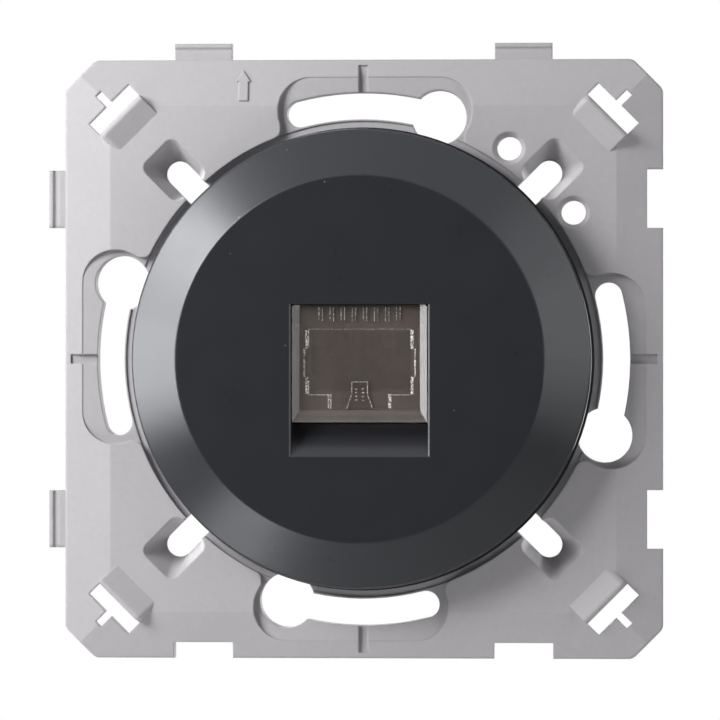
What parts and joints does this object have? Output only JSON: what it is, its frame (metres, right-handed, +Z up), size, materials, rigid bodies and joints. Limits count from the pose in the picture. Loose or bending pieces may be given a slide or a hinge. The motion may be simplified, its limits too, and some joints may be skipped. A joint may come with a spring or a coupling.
{
  "type": "shielded data socket with support frame",
  "caption": "Square wall-box frame with curved keyhole slots, carrying a round dark cover with a hinged see-through shutter over a shielded modular jack.",
  "frame": {"origin": "centre of the box screw circle, on the wall plane at the back of the support frame", "axes": "+X to the right seen from the front, +Y into the wall, +Z up"},
  "size_m": [0.073, 0.0363, 0.073],
  "materials": {
    "frame_plastic": "matte",
    "cover_plastic": "satin",
    "shutter_smoke": "gloss",
    "spring_steel": "satin",
    "carrier_plastic": "matte",
    "die_cast": "satin",
    "insert_plastic": "matte",
    "contact_gold": "polished",
    "board_green": "satin",
    "terminal_plastic": "matte",
    "blade_tin": "satin",
    "manager_plastic": "matte"
  },
  "bodies": {
    "fixed": {"circuit_board": "board_green", "contact_1": "contact_gold", "contact_2": "contact_gold", "contact_3": "contact_gold", "contact_4": "contact_gold", "contact_5": "contact_gold", "contact_6": "contact_gold", "contact_7": "contact_gold", "contact_8": "contact_gold", "contact_block": "insert_plastic", "cover": "cover_plastic", "door_pin_left": "spring_steel", "door_pin_right": "spring_steel", "jack_body": "die_cast", "module_carrier": "carrier_plastic", "shield_spring_left": "spring_steel", "shield_spring_right": "spring_steel", "shutter_spring": "spring_steel", "support_frame": "frame_plastic", "terminal_blade_1": "blade_tin", "terminal_blade_2": "blade_tin", "terminal_blade_3": "blade_tin", "terminal_blade_4": "blade_tin", "terminal_blade_5": "blade_tin", "terminal_blade_6": "blade_tin", "terminal_blade_7": "blade_tin", "terminal_blade_8": "blade_tin", "terminal_block": "terminal_plastic", "wire_manager": "manager_plastic"},
    "shutter": {"shutter": "shutter_smoke"},
    "rear_door_left": {"rear_door_left": "die_cast"},
    "rear_door_right": {"rear_door_right": "die_cast"}
  },
  "joints": [
    {"name": "shutter_lift", "type": "hinge", "parent": "fixed", "child": "shutter", "pos_m": [0, -0.00955, 0.00495], "axis": [-1, 0, 0], "range_deg": [0, 90], "stiffness_Nm_per_rad": 0.0002, "springref_deg": -20.05, "deforming": ["shutter_spring"]},
    {"name": "rear_door_left_swing", "type": "hinge", "parent": "fixed", "child": "rear_door_left", "pos_m": [-0.0099, 0.0118, -0.0005], "axis": [0, 0, 1], "range_deg": [0, 100]},
    {"name": "rear_door_right_swing", "type": "hinge", "parent": "fixed", "child": "rear_door_right", "pos_m": [0.0099, 0.0118, -0.0005], "axis": [0, 0, -1], "range_deg": [0, 100]}
  ]
}
